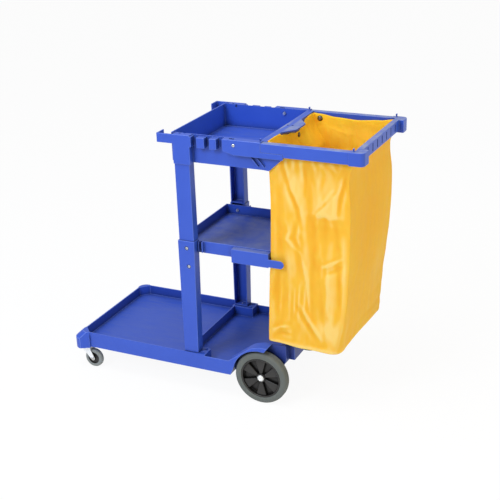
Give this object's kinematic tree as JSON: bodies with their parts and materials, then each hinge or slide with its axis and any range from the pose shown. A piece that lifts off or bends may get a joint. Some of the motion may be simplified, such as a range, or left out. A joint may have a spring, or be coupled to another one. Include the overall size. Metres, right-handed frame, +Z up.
{
  "type": "janitor cart",
  "caption": "Moulded cleaning cart with a low deck, shelf, tool tray, hanging yellow waste bag, large rear wheels and swivel casters.",
  "frame": {"origin": "centre of the bounding box in plan, on the floor under the wheels", "axes": "+X from the caster end to the bag end, +Y from the near side to the far side, +Z up"},
  "size_m": [1.159, 0.514, 0.984],
  "materials": {
    "blue_plastic": "injection-moulded polypropylene, satin",
    "bag_fabric": "PVC-coated polyester, semi-gloss",
    "eyelet_metal": "blackened steel eyelet",
    "grey_tyre": "non-marking grey thermoplastic rubber, matt",
    "black_plastic": "moulded black polypropylene",
    "nylon": "natural nylon bush",
    "bright_steel": "bright drawn steel",
    "zinc_steel": "bright zinc-plated pressed steel"
  },
  "bodies": {
    "cart": {"axle_cap_far": "bright_steel", "axle_cap_near": "bright_steel", "axle_washer_far": "bright_steel", "axle_washer_near": "bright_steel", "bag_eyelet_front_far": "eyelet_metal", "bag_eyelet_front_near": "eyelet_metal", "bag_eyelet_rear_far": "eyelet_metal", "bag_eyelet_rear_near": "eyelet_metal", "bag_eyelet_tray": "eyelet_metal", "bag_frame": "blue_plastic", "bag_stud_front_far": "zinc_steel", "bag_stud_front_near": "zinc_steel", "bag_stud_rear_far": "zinc_steel", "bag_stud_rear_near": "zinc_steel", "bag_stud_tray": "zinc_steel", "base_deck": "blue_plastic", "caster_bearing_far": "bright_steel", "caster_bearing_near": "bright_steel", "caster_race_far": "zinc_steel", "caster_race_near": "zinc_steel", "caster_stem_far": "bright_steel", "caster_stem_near": "bright_steel", "foot_screw_far": "zinc_steel", "foot_screw_near": "zinc_steel", "frame_bolt_far": "zinc_steel", "frame_bolt_near": "zinc_steel", "frame_nut_far": "zinc_steel", "frame_nut_near": "zinc_steel", "lower_post_far": "blue_plastic", "lower_post_near": "blue_plastic", "middle_shelf": "blue_plastic", "post_bolt_far": "zinc_steel", "post_bolt_near": "zinc_steel", "post_nut_far": "zinc_steel", "post_nut_near": "zinc_steel", "post_screw_far": "zinc_steel", "post_screw_near": "zinc_steel", "rear_axle": "bright_steel", "socket_screw_far": "zinc_steel", "socket_screw_near": "zinc_steel", "tool_tray": "blue_plastic", "upper_post_far": "blue_plastic", "upper_post_near": "blue_plastic", "waste_bag": "bag_fabric"},
    "caster_swivel_near": {"caster_yoke_near": "zinc_steel", "caster_bolt_near": "zinc_steel", "caster_nut_near": "zinc_steel"},
    "caster_wheel_near": {"caster_tyre_near": "grey_tyre", "caster_hub_near": "black_plastic"},
    "rear_wheel_near": {"rear_tyre_near": "grey_tyre", "rear_hub_near": "black_plastic", "wheel_bush_near": "nylon"},
    "caster_swivel_far": {"caster_yoke_far": "zinc_steel", "caster_bolt_far": "zinc_steel", "caster_nut_far": "zinc_steel"},
    "caster_wheel_far": {"caster_tyre_far": "grey_tyre", "caster_hub_far": "black_plastic"},
    "rear_wheel_far": {"rear_tyre_far": "grey_tyre", "rear_hub_far": "black_plastic", "wheel_bush_far": "nylon"}
  },
  "joints": [
    {"name": "rear_wheel_near_spin", "type": "hinge", "parent": "cart", "child": "rear_wheel_near", "pos_m": [0.1985, -0.213, 0.1], "axis": [0, 1, 0], "continuous": true},
    {"name": "caster_near_swivel", "type": "hinge", "parent": "cart", "child": "caster_swivel_near", "pos_m": [-0.5395, -0.214, 0.0803], "axis": [0, 0, 1], "continuous": true},
    {"name": "caster_near_spin", "type": "hinge", "parent": "caster_swivel_near", "child": "caster_wheel_near", "pos_m": [-0.5175, -0.214, 0.0375], "axis": [0, 1, 0], "continuous": true},
    {"name": "rear_wheel_far_spin", "type": "hinge", "parent": "cart", "child": "rear_wheel_far", "pos_m": [0.1985, 0.213, 0.1], "axis": [0, 1, 0], "continuous": true},
    {"name": "caster_far_swivel", "type": "hinge", "parent": "cart", "child": "caster_swivel_far", "pos_m": [-0.5395, 0.214, 0.0803], "axis": [0, 0, 1], "continuous": true},
    {"name": "caster_far_spin", "type": "hinge", "parent": "caster_swivel_far", "child": "caster_wheel_far", "pos_m": [-0.5175, 0.214, 0.0375], "axis": [0, 1, 0], "continuous": true}
  ]
}
